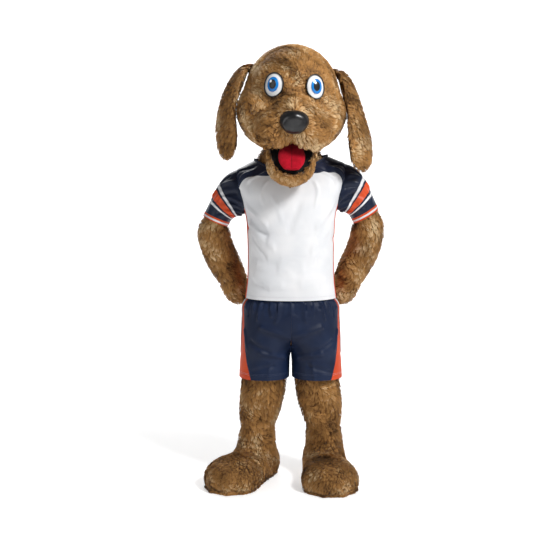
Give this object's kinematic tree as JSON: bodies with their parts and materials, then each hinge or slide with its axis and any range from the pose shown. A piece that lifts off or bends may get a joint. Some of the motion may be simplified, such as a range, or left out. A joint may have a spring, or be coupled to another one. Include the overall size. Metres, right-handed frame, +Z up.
{
  "type": "dog mascot costume",
  "caption": "Full-body dog mascot costume in brown fur: padded head with floppy ears and open mouth, sports jersey, shorts, paws and big feet.",
  "frame": {"origin": "where the wearer's shoulders carry the costume: the middle of the trunk, 1.36 m above the floor it stands on", "axes": "+Z up, -Y the way the costume faces, +X to the right of the picture, which is the costume's own left"},
  "size_m": [0.801, 0.5815, 1.8464],
  "materials": {
    "fur": "brown long-pile fur cloth on foam, matte",
    "white_jersey": "white sports knit, soft sheen",
    "navy_jersey": "navy satin sports cloth",
    "orange_trim": "orange sports knit and rib",
    "navy_shorts": "navy sports knit, matte",
    "ear_cloth": "plain brown lining cloth",
    "black_nose": "glossy black",
    "eye_white": "glossy white",
    "iris_blue": "glossy blue and black",
    "mouth_felt": "black felt",
    "tongue_felt": "red felt"
  },
  "bodies": {
    "root": {"arm_back_left": "fur", "arm_back_right": "fur", "arm_front_left": "fur", "arm_front_right": "fur", "collar": "navy_jersey", "cuff_left": "orange_trim", "cuff_right": "orange_trim", "ear_left": "fur", "ear_lining_left": "ear_cloth", "ear_lining_right": "ear_cloth", "ear_right": "fur", "eye_left": "eye_white", "eye_right": "eye_white", "foot_upper_left": "fur", "foot_upper_right": "fur", "gusset_left": "white_jersey", "gusset_right": "white_jersey", "head_crown_left": "fur", "head_crown_right": "fur", "head_face": "fur", "head_side_left": "fur", "head_side_right": "fur", "iris_left": "iris_blue", "iris_right": "iris_blue", "jaw": "fur", "jersey_back": "white_jersey", "jersey_front": "white_jersey", "jersey_side_left": "orange_trim", "jersey_side_right": "orange_trim", "leg_back_left": "fur", "leg_back_right": "fur", "leg_front_left": "fur", "leg_front_right": "fur", "mouth_lining": "mouth_felt", "muzzle_left": "fur", "muzzle_right": "fur", "neck": "fur", "nose": "black_nose", "paw_left": "fur", "paw_right": "fur", "shorts_back_left": "navy_shorts", "shorts_back_right": "navy_shorts", "shorts_front_left": "navy_shorts", "shorts_front_right": "navy_shorts", "shorts_side_left": "orange_trim", "shorts_side_right": "orange_trim", "sleeve_left": "navy_jersey", "sleeve_right": "navy_jersey", "sole_left": "fur", "sole_right": "fur", "suit_back": "fur", "suit_front": "fur", "toe_cap_left": "fur", "toe_cap_right": "fur", "tongue": "tongue_felt", "waistband": "navy_shorts", "yoke_left": "navy_jersey", "yoke_right": "navy_jersey"}
  },
  "joints": []
}
